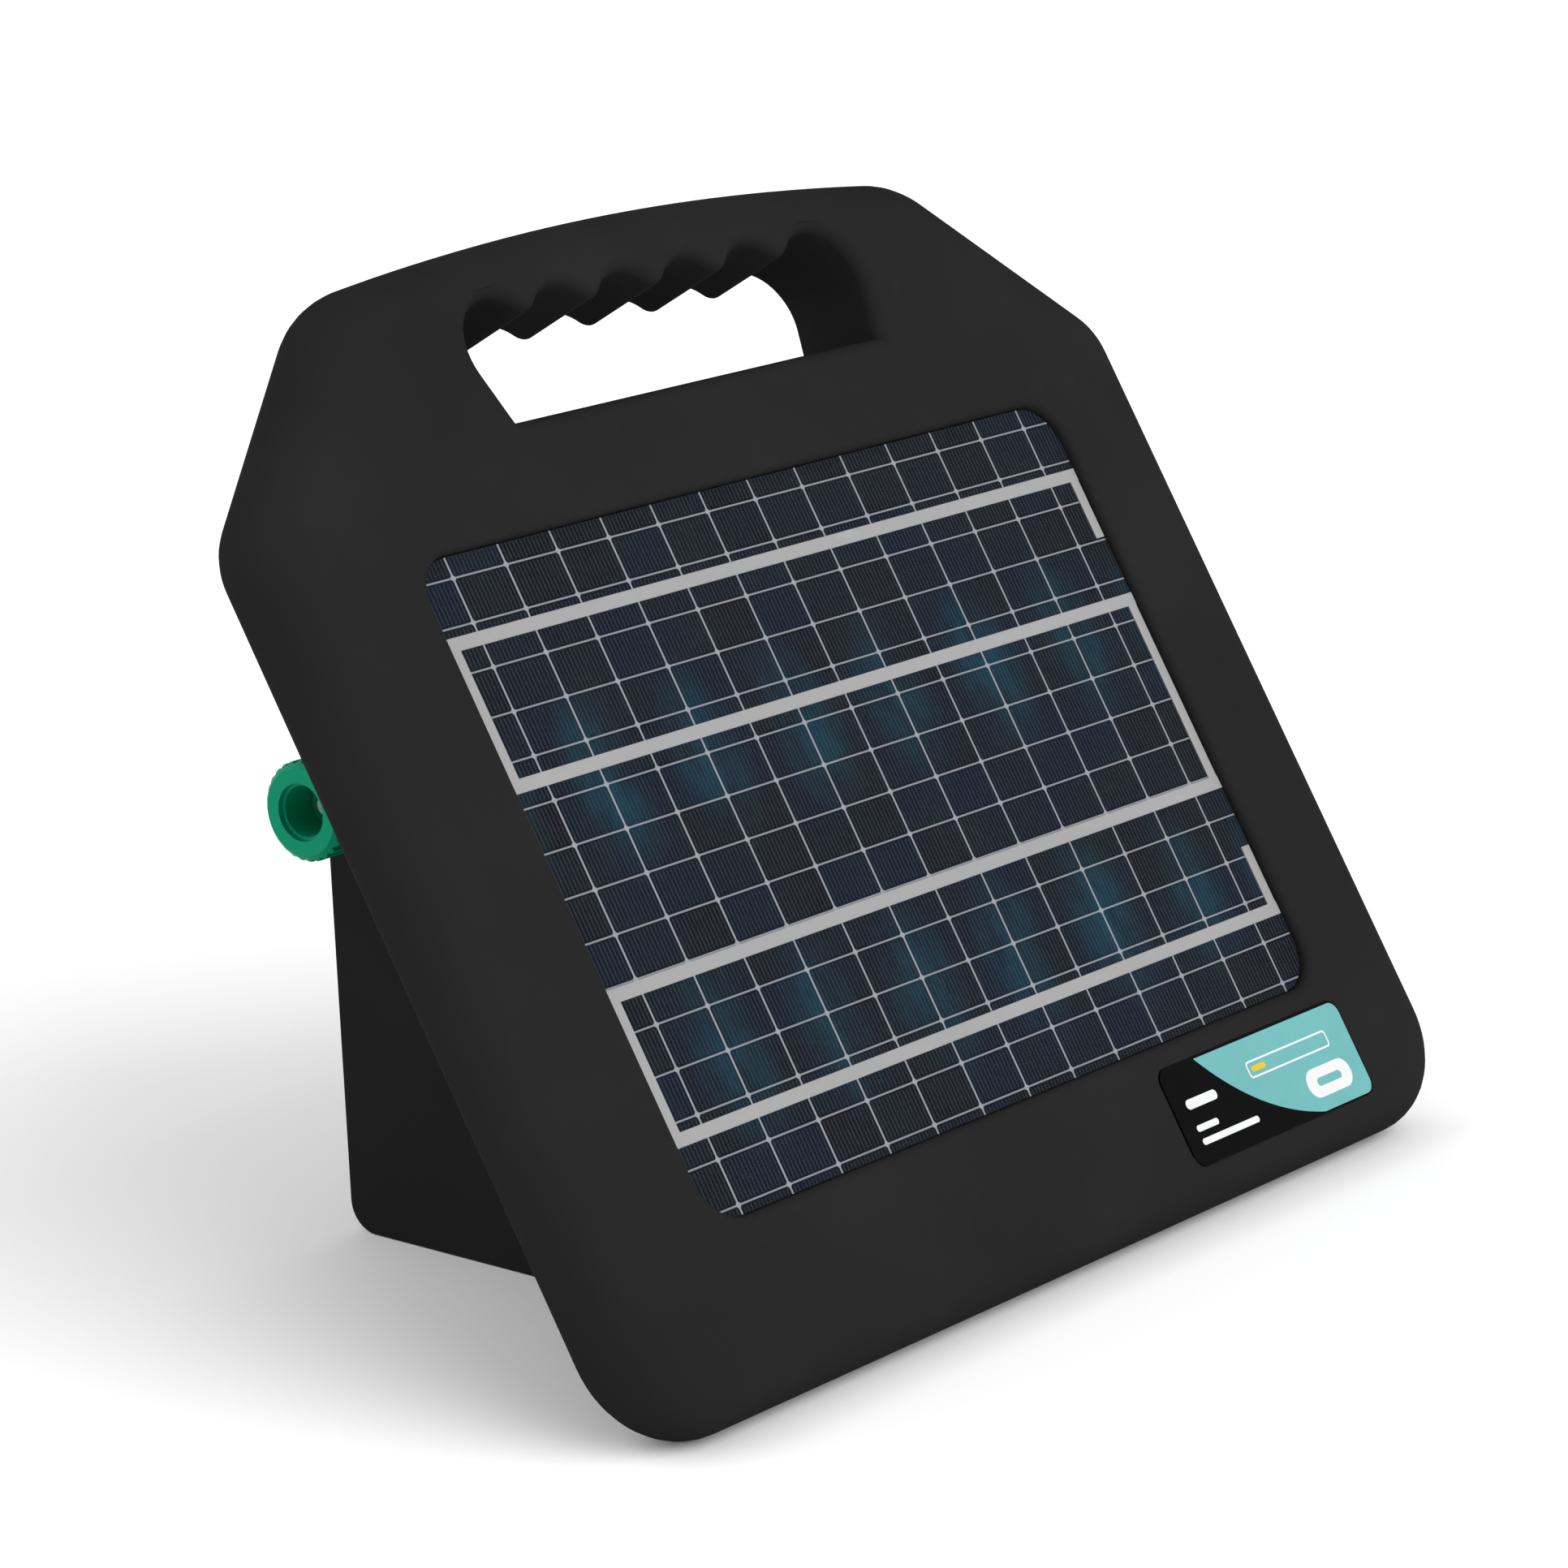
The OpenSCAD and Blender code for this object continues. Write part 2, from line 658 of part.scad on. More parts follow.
// A lead with the sleeve that pushes onto a battery tab, to a plug on the board
module battery_lead(s) {
  top = BATTERY_Z + battery_h;
  start = [s * TAB_X, TAB_Y, top + 8.2];
  end = [s * (PLUG_X[4] + 6), 103, PLUG_Z];
  place() {
    difference() {
      translate([s * TAB_X - 1.5, TAB_Y - 4, top + 0.4]) cube([3, 8, 7.9]);
      translate([s * TAB_X - 0.5, TAB_Y - 3.4, top]) cube([1, 6.8, TAB_H + 0.2]);
    }
    lead(curve(start, start + [0, 0, 12], end + [s * 12, 0, 0], end, 12), 2.4);
  }
}

module battery_lead_red() {
  color(RED) battery_lead(1);
}

module battery_lead_black() {
  color(DARK) battery_lead(-1);
}

// ---------- electronics ----------

module inner_tray() {
  mid_y = (TRAY_Y[0] + TRAY_Y[1]) / 2;
  color([0.3, 0.31, 0.33]) place() difference() {
    union() {
      translate([0, mid_y, TRAY_Z]) plate(CASE_IN_W - 5, TRAY_Y[1] - TRAY_Y[0], 3, TRAY_T);
      for (p = BOARD_HOLES) translate([p[0], p[1], TRAY_Z + TRAY_T - EPS])
        cylinder(r = 3.6, h = BOARD_Z - TRAY_Z - TRAY_T + EPS);
      for (x = [-40, 0, 40]) translate([x - 1.5, 112, BATTERY_Z + battery_h + 0.2])
        cube([3, 50, TRAY_Z - BATTERY_Z - battery_h]);
    }
    for (p = BOARD_HOLES) translate([p[0], p[1], TRAY_Z - 1]) cylinder(r = 1.3, h = 12);
    for (p = concat(FRONT_PILLARS, REAR_LEDGES))
      translate([p[0], p[1], TRAY_Z - 1]) cylinder(r = 1.8, h = 6);
    for (s = [-1, 1]) translate([s * 66 - 11, 107, TRAY_Z - 1]) cube([22, 14, 5]);
  }
}

// Pan-head screws: one at each point, head on the plane z
module small_screws(points, z, length) {
  for (p = points) translate([p[0], p[1], z]) difference() {
    union() {
      translate([0, 0, -length]) cylinder(r = 1.25, h = length + EPS);
      cylinder(r = 2.8, h = 1.9);
    }
    for (a = [0, 90]) rotate([0, 0, a]) translate([-1.6, -0.3, 1]) cube([3.2, 0.6, 2]);
  }
}

module tray_screws() {
  color(SILVER) place() {
    small_screws(FRONT_PILLARS, TRAY_Z + TRAY_T, 11);
    small_screws(REAR_LEDGES, TRAY_Z + TRAY_T, 7);
  }
}

module circuit_board() {
  color(BOARD) place() difference() {
    translate([0, (BOARD_Y[0] + BOARD_Y[1]) / 2, BOARD_Z])
      plate(2 * BOARD_X, BOARD_Y[1] - BOARD_Y[0], 2, BOARD_T);
    for (p = BOARD_HOLES) translate([p[0], p[1], BOARD_Z - 1]) cylinder(r = 1.6, h = 4);
  }
}

module board_screws() {
  color(SILVER) place() small_screws(BOARD_HOLES, BOARD_TOP, 6);
}

// A three-legged core with two windows
module transformer_core() {
  color([0.32, 0.31, 0.3]) place() translate([TRANSFORMER[0], TRANSFORMER[1], BOARD_TOP]) difference() {
    translate([-21, -9, 0]) cube([42, 18, 30]);
    for (s = [-1, 1]) translate([s * 10.5 - 4.5, -10, 5]) cube([9, 20, 20]);
  }
}

module transformer_winding() {
  color([0.62, 0.3, 0.12]) place() translate([TRANSFORMER[0], TRANSFORMER[1], BOARD_TOP + 5.2])
    difference() {
      plate(29.4, 32, 5, 19.6);
      translate([0, 0, -1]) plate(12.6, 18.6, 0.5, 22);
    }
}

module storage_capacitor() {
  color([0.12, 0.2, 0.45]) place() translate([CAP_POS[0], CAP_POS[1], BOARD_TOP + CAP_R])
    rotate([0, 90, 0]) difference() {
      cylinder(r = CAP_R, h = CAP_L);
      translate([0, 0, 3]) difference() {
        cylinder(r = CAP_R + 1, h = 1.5);
        translate([0, 0, -1]) cylinder(r = CAP_R - 0.8, h = 4);
      }
    }
}

// The power semiconductor on its finned heat sink
module power_switch() {
  color([0.55, 0.56, 0.58]) place() translate([24, 113, BOARD_TOP]) {
    translate([-10, 0, 0]) cube([20, 2, 22]);
    for (i = [0:4]) translate([-10 + i * 4.75, 2 - EPS, 0]) cube([1, 3.5, 22]);
    translate([-5, -4.5, 4]) cube([10, 4.5 + EPS, 15]);
  }
}

module board_connectors() {
  color([0.9, 0.9, 0.86]) place() {
    for (x = PLUG_X) translate([x - 6, 100, BOARD_TOP]) cube([12, 6, 8.8]);
    translate([49.2, 118, BOARD_TOP]) cube([5, 12, 7.4]);
  }
}

module status_led() {
  color([0.2, 0.8, 0.3]) place() {
    translate([49.5, PIPE[0] - 2.5, BOARD_TOP]) cube([3, 5, 7]);
    translate([52.5 - EPS, PIPE[0], PIPE[1]]) rotate([0, 90, 0]) cylinder(r = 2, h = 2.5);
  }
}

module light_pipe() {
  color([0.85, 0.95, 0.9, 0.6]) on_side(PIPE) {
    translate([0, 0, 56]) cylinder(r = 2.5, h = SIDE_X - 56 + EPS);
    translate([0, 0, SIDE_X]) cylinder(r = 3.6, h = 1);
    translate([0, 0, SIDE_X + 1 - EPS]) intersection() {
      sphere(r = 2.5);
      cylinder(r = 3, h = 3);
    }
  }
}

// ---------- terminals ----------

module terminal_bolt(s) {
  color(SILVER) terminal(s) {
    translate([0, 0, RING_X - 4]) cylinder(r = 5.77, h = 4, $fn = 6);
    translate([0, 0, RING_X - EPS]) cylinder(r = BOLT_R, h = BOLT_END - 0.8 - RING_X + EPS);
    translate([0, 0, BOLT_END - 0.8 - EPS]) cylinder(r1 = BOLT_R, r2 = BOLT_R - 0.8, h = 0.8);
  }
}

module terminal_inner_washer(s) {
  color(SILVER) terminal(s) translate([0, 0, RING_X + 1]) ring(6.5, BOLT_R + 0.1, 1);
}

module terminal_collar(s, tint) {
  color(tint) terminal(s) translate([0, 0, SIDE_X]) ring(12, BOLT_R + 0.1, COLLAR_T);
}

module terminal_nut(s) {
  color(SILVER) terminal(s) translate([0, 0, NUT_X]) difference() {
    cylinder(r = 5.77, h = NUT_T, $fn = 6);
    translate([0, 0, -1]) cylinder(r = BOLT_R + 0.05, h = NUT_T + 2);
  }
}

module terminal_clamp_washer(s) {
  color(SILVER) terminal(s) translate([0, 0, CLAMP_X]) ring(9, BOLT_R + 0.08, CLAMP_T);
}

// A ribbed knob with a deep socket in its outer face
module terminal_knob(s, tint) {
  length = knob_reach - KNOB_X;
  chamfer = 1.7;
  color(tint) terminal(s) translate([0, 0, KNOB_X]) difference() {
    rotate_extrude() polygon([[0, 0], [9, 0], [knob_d / 2, 3.5], [knob_d / 2, length - chamfer],
      [knob_d / 2 - chamfer, length], [0, length]]);
    translate([0, 0, -1]) cylinder(r = KNOB_BORE_R, h = length);
    translate([0, 0, KNOB_WEB]) cylinder(r = SOCKET_R, h = length);
    translate([0, 0, length - RIM_T]) cylinder(r = RIM_R, h = length);
    for (i = [0:KNOB_RIBS - 1]) rotate([0, 0, 360 * i / KNOB_RIBS])
      translate([knob_d / 2 + 0.3, 0, 4.5]) cylinder(r = 0.9, h = length, $fn = 16);
  }
}

// A lead that ends in a flat ring under the bolt's head
module terminal_lead(s, start, pull, d) {
  end = [s * (RING_X + 0.5), term_y - 11.6, term_z];
  terminal(s) translate([0, 0, RING_X]) difference() {
    union() {
      cylinder(r = 5.6, h = 1);
      translate([-1.4, -11.8, 0]) cube([2.8, 11, 1]);
    }
    translate([0, 0, -1]) cylinder(r = BOLT_R + 0.1, h = 3);
  }
  place() lead(curve(start, start + pull, end - [0, 14, -3], end, 14), d);
}

module earth_bolt() { terminal_bolt(-1); }
module earth_inner_washer() { terminal_inner_washer(-1); }
module earth_collar() { terminal_collar(-1, GREEN); }
module earth_nut() { terminal_nut(-1); }
module earth_clamp_washer() { terminal_clamp_washer(-1); }
module earth_knob() { terminal_knob(-1, GREEN); }

module earth_lead() {
  color(GREEN) terminal_lead(-1, [TRANSFORMER[0] - 9, TRANSFORMER[1] + 16, BOARD_TOP + 10], [0, 8, 0], 1.8);
}

module fence_bolt() { terminal_bolt(1); }
module fence_inner_washer() { terminal_inner_washer(1); }
module fence_collar() { terminal_collar(1, RED); }
module fence_nut() { terminal_nut(1); }
module fence_clamp_washer() { terminal_clamp_washer(1); }
module fence_knob() { terminal_knob(1, RED); }

module fence_lead() {
  color(RED) terminal_lead(1, [TRANSFORMER[0] + 9, TRANSFORMER[1] + 16, BOARD_TOP + 15], [0, 14, 0], 1.8);
}

// ---------- switch ----------

module switch_body() {
  color(BLACK) on_side(SWITCH) difference() {
    union() {
      translate([0, 0, 62]) plate(SWITCH_BODY[1], SWITCH_BODY[0], 0.5, SIDE_X - 62 + EPS);
      translate([0, 0, SIDE_X]) plate(SWITCH_BEZEL[1], SWITCH_BEZEL[0], 2, 2);
      for (x = [-5, 5]) translate([x - 0.4, -2.4, 56.5]) cube([0.8, 4.8, 6]);
    }
    translate([0, 0, 71.4]) plate(SWITCH_POCKET[1], SWITCH_POCKET[0], 0.3, 20);
    translate([0, 0, PIVOT_X]) rotate([90, 0, 0]) cylinder(r = 1.06, h = BIG, center = true);
  }
}

// Shown with its upper end pressed in; local x is downward
module switch_rocker() {
  color([0.2, 0.2, 0.21]) on_side(SWITCH) translate([0, 0, PIVOT_X]) rotate([0, -ROCKER_TILT, 0]) {
    rotate([90, 0, 0]) linear_extrude(ROCKER_W, center = true)
      polygon([[-3, -4.2], [3, -4.2], [7.2, -1], [7.6, 5], [0, 3.6], [-7.6, 5], [-7.2, -1]]);
    rotate([90, 0, 0]) cylinder(r = 1, h = 12.2, center = true);
  }
}

module switch_lead() {
  start = [57.2, SWITCH[0], SWITCH[1] + 6.8];
  end = [51.7, SWITCH[0] - 2, BOARD_TOP + 7.4];
  color(DARK) place() {
    lead(curve(start, start + [-3, 0, 5], end + [0, 0, 12], end, 12), 2);
    translate([56, SWITCH[0] - 2.4, SWITCH[1] + 5.7]) cube([2.4, 4.8, 1.6]);
  }
}

// ---------- charging socket ----------

module charge_socket() {
  color(DARK) on_side(SOCKET) difference() {
    union() {
      translate([0, 0, SIDE_X]) plate(SOCKET_PLATE[1], SOCKET_PLATE[0], 3, 2);
      translate([0, 0, 63]) cylinder(r = 5.6, h = SIDE_X - 63 + EPS);
      for (s = [-1, 1]) translate([-LID_HINGE[1] - 2, s * 5.9 - 1.5, SIDE_X + 2 - EPS]) cube([4, 3, 4.4]);
      for (s = [-1, 1]) translate([0, s * 2.5 - 0.4, 60.5]) cube([1.6, 0.8, 3]);
    }
    translate([0, 0, SIDE_X - 2]) cylinder(r = 4, h = 10);
    difference() {
      translate([0, 0, 68]) cylinder(r = 3.15, h = 20);
      translate([0, 0, 60]) cylinder(r = 1.05, h = 16.5);
    }
    translate([-LID_HINGE[1], 0, LID_HINGE[0]]) rotate([90, 0, 0]) cylinder(r = 0.8, h = 40, center = true);
  }
}

module socket_nut() {
  color(SILVER) on_side(SOCKET) translate([0, 0, SIDE_X - case_wall - 3]) difference() {
    cylinder(r = 7.5, h = 3, $fn = 6);
    translate([0, 0, -1]) cylinder(r = 5.65, h = 5);
  }
}

module socket_lid() {
  gap = 0.3;
  color(BLACK) on_side(SOCKET) difference() {
    union() {
      translate([1.8, 0, SIDE_X + 2 + gap]) plate(17, 15, 3, 2);
      translate([0, 0, SIDE_X + 0.8]) cylinder(r = 3.1, h = 2);
      translate([-LID_HINGE[1], -4, SIDE_X + 2 + gap + 0.2]) cube([6, 8, 1.8]);
      translate([-LID_HINGE[1], 0, LID_HINGE[0]]) rotate([90, 0, 0]) cylinder(r = 1.8, h = 8, center = true);
    }
    translate([-LID_HINGE[1], 0, LID_HINGE[0]]) rotate([90, 0, 0]) cylinder(r = 0.86, h = 20, center = true);
  }
}

module lid_pin() {
  color(SILVER) on_side(SOCKET) translate([-LID_HINGE[1], 0, LID_HINGE[0]])
    rotate([90, 0, 0]) cylinder(r = 0.8, h = 15, center = true);
}

module charge_lead() {
  start = [58, SOCKET[0], SOCKET[1] - 2.2];
  end = [20, 100, PLUG_Z];
  color(DARK) place() {
    lead(curve(start, start - [14, 4, 0], end - [0, 14, 0], end, 16), 3);
    translate([57.8, SOCKET[0] - 3.6, SOCKET[1] - 3.8]) cube([2.6, 7.2, 3.8]);
  }
}

panel_housing();
rear_case();
case_seal();
thread_inserts();
case_screws();
panel_film();
cell_ribbons();
solar_cells();
panel_board();
panel_seal();
junction_box();
panel_lead();
label_plate();
battery();
battery_tabs();
battery_pad();
battery_lead_red();
battery_lead_black();
inner_tray();
tray_screws();
circuit_board();
board_screws();
transformer_core();
transformer_winding();
storage_capacitor();
power_switch();
board_connectors();
status_led();
light_pipe();
earth_bolt();
earth_inner_washer();
earth_collar();
earth_nut();
earth_clamp_washer();
earth_knob();
earth_lead();
fence_bolt();
fence_inner_washer();
fence_collar();
fence_nut();
fence_clamp_washer();
fence_knob();
fence_lead();
switch_body();
switch_rocker();
switch_lead();
charge_socket();
socket_nut();
socket_lid();
lid_pin();
charge_lead();
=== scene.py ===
import json
import math

import bmesh
import bpy
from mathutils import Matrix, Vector
from mathutils.geometry import tessellate_polygon


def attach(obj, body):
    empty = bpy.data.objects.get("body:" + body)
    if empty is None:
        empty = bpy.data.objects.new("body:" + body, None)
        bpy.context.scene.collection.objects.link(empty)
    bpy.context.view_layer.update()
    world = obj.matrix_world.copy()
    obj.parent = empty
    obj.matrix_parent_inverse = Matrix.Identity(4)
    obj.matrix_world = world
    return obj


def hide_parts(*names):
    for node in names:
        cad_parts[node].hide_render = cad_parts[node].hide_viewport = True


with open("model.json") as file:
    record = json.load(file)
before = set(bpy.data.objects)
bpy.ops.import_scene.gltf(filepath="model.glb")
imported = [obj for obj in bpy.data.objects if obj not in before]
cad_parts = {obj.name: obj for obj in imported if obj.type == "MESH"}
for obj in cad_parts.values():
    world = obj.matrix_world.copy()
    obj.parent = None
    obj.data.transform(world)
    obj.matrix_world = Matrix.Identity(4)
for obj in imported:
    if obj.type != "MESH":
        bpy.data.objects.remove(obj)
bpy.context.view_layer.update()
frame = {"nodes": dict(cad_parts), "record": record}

# ---------- the object's own measures, in millimetres ----------

MM = 0.001
TILT = math.radians(31.7)
SIN_T, COS_T = math.sin(TILT), math.cos(TILT)
THICK, FRONT_R, REAR_R = 27.8, 13.0, 14.0
SLAB_Z = REAR_R * (1 - COS_T) + (THICK - REAR_R) * SIN_T
Y_SHIFT = -94.703
HALF_W, HEIGHT, TOP_ARC = 167.4, 287.0, 927.6
FOOT_R, SIDE_R, SHOULDER_R = 26.0, 20.0, 30.0
SIDE_V, SHOULDER_X = 219.8, 98.3
WINDOW = (0.0, 126.6, 253.0, 168.0, 12.0)
TRAY_FLOOR, SEAT_FLOOR, PRINT_N = -5.3, -0.6, 0.2
LABEL = (86.45, 23.15, 82.0, 26.5, 3.75)
CELL_W, CELL_H, CELLS_TOP = 19.0, 11.41, 205.0
PATCH_START, PATCH_STEP, PATCH_ROWS = 95.0, 38.0, (148.0, 77.0)
BODY = "energizer_body"


def slab(x, v, n):
    """A place on the tilted housing: across, up the face, outward from the face."""
    return Vector((x, v * SIN_T - n * COS_T + Y_SHIFT, v * COS_T + n * SIN_T + SLAB_Z)) * MM


# ---------- camera ----------

def make_camera():
    """A three-quarter view of the front, from a little above."""
    data = bpy.data.cameras.new("camera")
    data.lens, data.sensor_width = 136.4, 36.0
    data.clip_start, data.clip_end = 0.05, 60.0
    cam = bpy.data.objects.new("camera", data)
    bpy.context.scene.collection.objects.link(cam)
    cam.location = Vector((-1132.8, 109.68 + Y_SHIFT - 885.4, 481.6)) * MM
    cam.rotation_mode = "QUATERNION"
    cam.rotation_quaternion = Vector((0.7656, 0.5926, -0.2504)).to_track_quat("-Z", "Y")
    bpy.context.scene.camera = cam


# ---------- material graphs ----------

class Graph:
    """A material's node tree, with short calls for the nodes used here."""

    def __init__(self, name):
        self.material = bpy.data.materials.new(name)
        self.material.use_nodes = True
        self.tree = self.material.node_tree
        self.shader = self.tree.nodes["Principled BSDF"]
        self.coords = self.tree.nodes.new("ShaderNodeTexCoord").outputs["Object"]

    def set(self, socket, value):
        """Joins or fills a socket."""
        if hasattr(value, "is_output"):
            self.tree.links.new(value, socket)
        else:
            socket.default_value = value

    def out(self, name, value):
        self.set(self.shader.inputs[name], value)

    def math(self, operation, a, b=0.0, c=0.0, clamp=False):
        node = self.tree.nodes.new("ShaderNodeMath")
        node.operation, node.use_clamp = operation, clamp
        for socket, value in zip(node.inputs, (a, b, c)):
            self.set(socket, value)
        return node.outputs[0]

    def stretch(self, vector, scale):
        node = self.tree.nodes.new("ShaderNodeVectorMath")
        node.operation = "MULTIPLY"
        self.set(node.inputs[0], vector)
        node.inputs[1].default_value = scale
        return node.outputs[0]

    def noise(self, scale, detail=2.0, rough=0.5, vector=None):
        node = self.tree.nodes.new("ShaderNodeTexNoise")
        self.set(node.inputs["Vector"], self.coords if vector is None else vector)
        node.inputs["Scale"].default_value = scale
        node.inputs["Detail"].default_value = detail
        node.inputs["Roughness"].default_value = rough
        return node.outputs["Fac"]

    def ramp(self, value, low, high, to_low=0.0, to_high=1.0, smooth=False):
        node = self.tree.nodes.new("ShaderNodeMapRange")
        node.interpolation_type = "SMOOTHSTEP" if smooth else "LINEAR"
        for name, v in (("Value", value), ("From Min", low), ("From Max", high),
                        ("To Min", to_low), ("To Max", to_high)):
            self.set(node.inputs[name], v)
        return node.outputs["Result"]

    def mix(self, factor, a, b):
        node = self.tree.nodes.new("ShaderNodeMix")
        node.data_type = "RGBA"
        self.set(node.inputs["Factor"], factor)
        for name, value in (("A", a), ("B", b)):
            socket = next(s for s in node.inputs if s.name == name and s.type == "RGBA")
            self.set(socket, value if hasattr(value, "is_output") else (*value, 1.0))
        return next(s for s in node.outputs if s.type == "RGBA")

    def bump(self, height, strength, distance=0.0002):
        node = self.tree.nodes.new("ShaderNodeBump")
        node.inputs["Strength"].default_value = strength
        node.inputs["Distance"].default_value = distance
        self.set(node.inputs["Height"], height)
        self.out("Normal", node.outputs["Normal"])


def shade(colour, k):
    """A colour made lighter or darker."""
    return tuple(min(1.0, c * k) for c in colour)


def moulded(name, colour, rough=(0.5, 0.62), grain=1500.0, bump=0.12, spread=0.1, specular=0.3):
    """Moulded plastic: a fine even grain, slow changes in tone and faint scuffs."""
    g = Graph(name)
    broad = g.ramp(g.noise(18.0, 4.0), 0.3, 0.7)
    fine = g.noise(grain, 2.0)
    scuff = g.ramp(g.noise(60.0, 6.0, 0.7, g.stretch(g.coords, (1.0, 3.0, 1.0))), 0.6, 0.78)
    tone = g.mix(broad, shade(colour, 1 - spread), shade(colour, 1 + spread))
    g.out("Base Color", g.mix(g.math("MULTIPLY", scuff, 0.25), tone, shade(colour, 1.45)))
    g.out("Roughness", g.math("ADD", g.ramp(fine, 0.3, 0.7, *rough), g.math("MULTIPLY", scuff, -0.06)))
    g.out("Specular IOR Level", specular)
    g.bump(fine, bump)
    return g.material


def metal(name, colour, rough=(0.24, 0.4), along=(1.0, 1.0, 1.0), spread=0.12):
    """Plated or turned metal with a fine brushed grain."""
    g = Graph(name)
    brushed = g.noise(1400.0, 3.0, 0.6, g.stretch(g.coords, along))
    dull = g.ramp(g.noise(160.0, 5.0, 0.65), 0.35, 0.7)
    g.out("Base Color", g.mix(dull, shade(colour, 1 + spread), shade(colour, 1 - 2 * spread)))
    g.out("Metallic", 1.0)
    g.out("Roughness", g.math("ADD", g.ramp(brushed, 0.3, 0.7, *rough), g.math("MULTIPLY", dull, 0.12)))
    g.bump(brushed, 0.08, 0.0001)
    return g.material


def solar_material():
    """Cells behind the film: thin pale grid lines, fine fingers, cell tones and teal patches."""
    g = Graph("solar_cells")
    node = g.tree.nodes.new("ShaderNodeMapping")
    node.vector_type = "TEXTURE"
    node.inputs["Location"].default_value = Vector((0.0, Y_SHIFT, SLAB_Z)) * MM
    node.inputs["Rotation"].default_value = (math.pi / 2 - TILT, 0.0, 0.0)
    node.inputs["Scale"].default_value = (MM, MM, MM)
    g.set(node.inputs["Vector"], g.coords)
    face = node.outputs["Vector"]
    split = g.tree.nodes.new("ShaderNodeSeparateXYZ")
    g.set(split.inputs[0], face)
    x, v = split.outputs["X"], split.outputs["Y"]
    column = g.math("DIVIDE", x, CELL_W)
    row = g.math("DIVIDE", g.math("SUBTRACT", CELLS_TOP, v), CELL_H)

    def nearest(value, pitch):
        """Distance to the nearest whole step."""
        part = g.math("FRACT", g.math("ADD", value, 0.5))
        return g.math("MULTIPLY", g.math("ABSOLUTE", g.math("SUBTRACT", part, 0.5)), pitch)

    dx, dy = nearest(column, CELL_W), nearest(row, CELL_H)
    uprights = g.ramp(dx, 0.22, 0.38, 1.0, 0.0)
    levels = g.ramp(dy, 0.15, 0.29, 0.85, 0.0)
    knots = g.ramp(g.math("ADD", dx, dy), 0.95, 1.2, 1.0, 0.0)
    lines = g.math("MAXIMUM", g.math("MAXIMUM", uprights, levels), knots)

    strand = g.math("MULTIPLY", g.math("ABSOLUTE", g.math("SUBTRACT",
                    g.math("FRACT", g.math("MULTIPLY", column, 14.0)), 0.5)), 2.0)
    broken = g.ramp(g.noise(0.9, 3.0, 0.6, g.stretch(face, (2.2, 0.55, 1.0))), 0.3, 0.65, 0.55, 1.0)
    fingers = g.math("MULTIPLY", g.math("MULTIPLY", g.ramp(strand, 0.4, 0.85), broken), g.ramp(dy, 0.5, 0.9))

    cell = g.tree.nodes.new("ShaderNodeCombineXYZ")
    g.set(cell.inputs[0], g.math("FLOOR", column))
    g.set(cell.inputs[1], g.math("FLOOR", row))
    chance = g.tree.nodes.new("ShaderNodeTexWhiteNoise")
    chance.noise_dimensions = "3D"
    g.set(chance.inputs["Vector"], cell.outputs[0])
    pick = chance.outputs["Value"]
    tone = g.mix(g.ramp(pick, 0.0, 0.5), (0.0060, 0.0052, 0.0078), (0.0054, 0.0070, 0.0128))
    tone = g.mix(g.ramp(pick, 0.6, 1.0), tone, (0.0048, 0.0072, 0.0178))
    drift = g.noise(0.05, 3.0, 0.55, face)
    tone = g.mix(g.ramp(drift, 0.45, 0.7, 0.0, 0.6), tone, (0.0080, 0.0115, 0.0130))

    near_x = nearest(g.math("DIVIDE", g.math("ADD", x, PATCH_START), PATCH_STEP), PATCH_STEP)
    pair = nearest(g.math("DIVIDE", g.math("ADD", x, PATCH_START), 2 * PATCH_STEP), 2 * PATCH_STEP)
    strong = g.ramp(pair, 17.0, 21.0, 1.0, 0.8)
    near_v = g.math("MINIMUM", *(g.math("ABSOLUTE", g.math("SUBTRACT", v, r)) for r in PATCH_ROWS))
    reach = g.math("SQRT", g.math("ADD", g.math("POWER", g.math("DIVIDE", near_x, 15.0), 2.0),
                   g.math("POWER", g.math("DIVIDE", near_v, 26.0), 2.0)))
    patch = g.math("MULTIPLY", g.ramp(reach, 0.1, 1.15, 1.0, 0.0, True), strong)
    uneven = g.noise(0.09, 4.0, 0.6, g.stretch(face, (1.6, 0.7, 1.0)))
    patch = g.math("MULTIPLY", patch, g.ramp(uneven, 0.38, 0.6, 0.3, 1.0))
    tone = g.mix(g.math("MULTIPLY", patch, g.ramp(pick, 0.0, 1.0, 0.5, 1.0)), tone, (0.0062, 0.0430, 0.0660))
    tone = g.mix(g.math("MULTIPLY", fingers, 0.5), tone, (0.048, 0.062, 0.080))
    g.out("Base Color", g.mix(lines, tone, (0.285, 0.300, 0.330)))
    g.out("Roughness", g.ramp(lines, 0.0, 1.0, 0.42, 0.6))
    g.out("Specular IOR Level", 0.02)
    g.bump(g.math("ADD", lines, g.math("MULTIPLY", fingers, 0.5)), 0.1, 0.0001)
    return g.material


def film_material():
    """A nearly clear film with a fine texture."""
    g = Graph("panel_film")
    texture = g.noise(2600.0, 2.0)
    broad = g.noise(30.0, 3.0)
    g.out("Base Color", g.mix(g.ramp(broad, 0.3, 0.7), (0.006, 0.0065, 0.008), (0.010, 0.011, 0.013)))
    g.out("Roughness", g.ramp(texture, 0.3, 0.7, 0.32, 0.46))
    g.out("Alpha", 0.08)
    g.out("Specular IOR Level", 0.03)
    g.bump(texture, 0.1, 0.0001)
    return g.material


